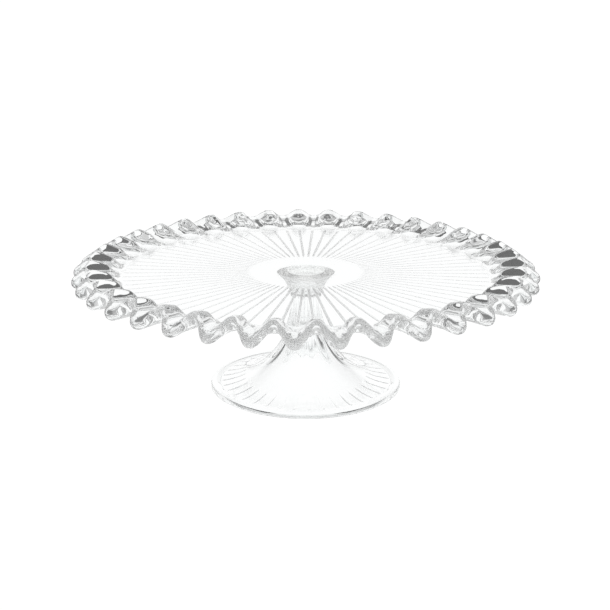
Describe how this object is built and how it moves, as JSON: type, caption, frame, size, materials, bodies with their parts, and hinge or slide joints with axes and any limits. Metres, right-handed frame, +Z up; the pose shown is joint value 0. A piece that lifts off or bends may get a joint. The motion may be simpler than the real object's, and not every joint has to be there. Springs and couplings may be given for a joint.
{
  "type": "cake stand",
  "caption": "Clear pressed-glass cake stand: round rayed plate with a thick ruffled rim, on a low hollow bell foot with a slim fluted neck.",
  "frame": {"origin": "on the stand's vertical axis, level with the ring of the foot that rests on the table", "axes": "+Z up along the axis of the neck; X and Y lie in the table, with a trough of the ruffle on +X and a crest on +Y"},
  "size_m": [0.302, 0.301, 0.0891],
  "materials": {
    "plate_glass": "fire-polished clear soda-lime glass",
    "foot_glass": "fire-polished clear soda-lime glass",
    "bond": "clear cured acrylic"
  },
  "bodies": {
    "root": {"cake_plate": "plate_glass", "pedestal_foot": "foot_glass", "bond_film": "bond"}
  },
  "joints": []
}
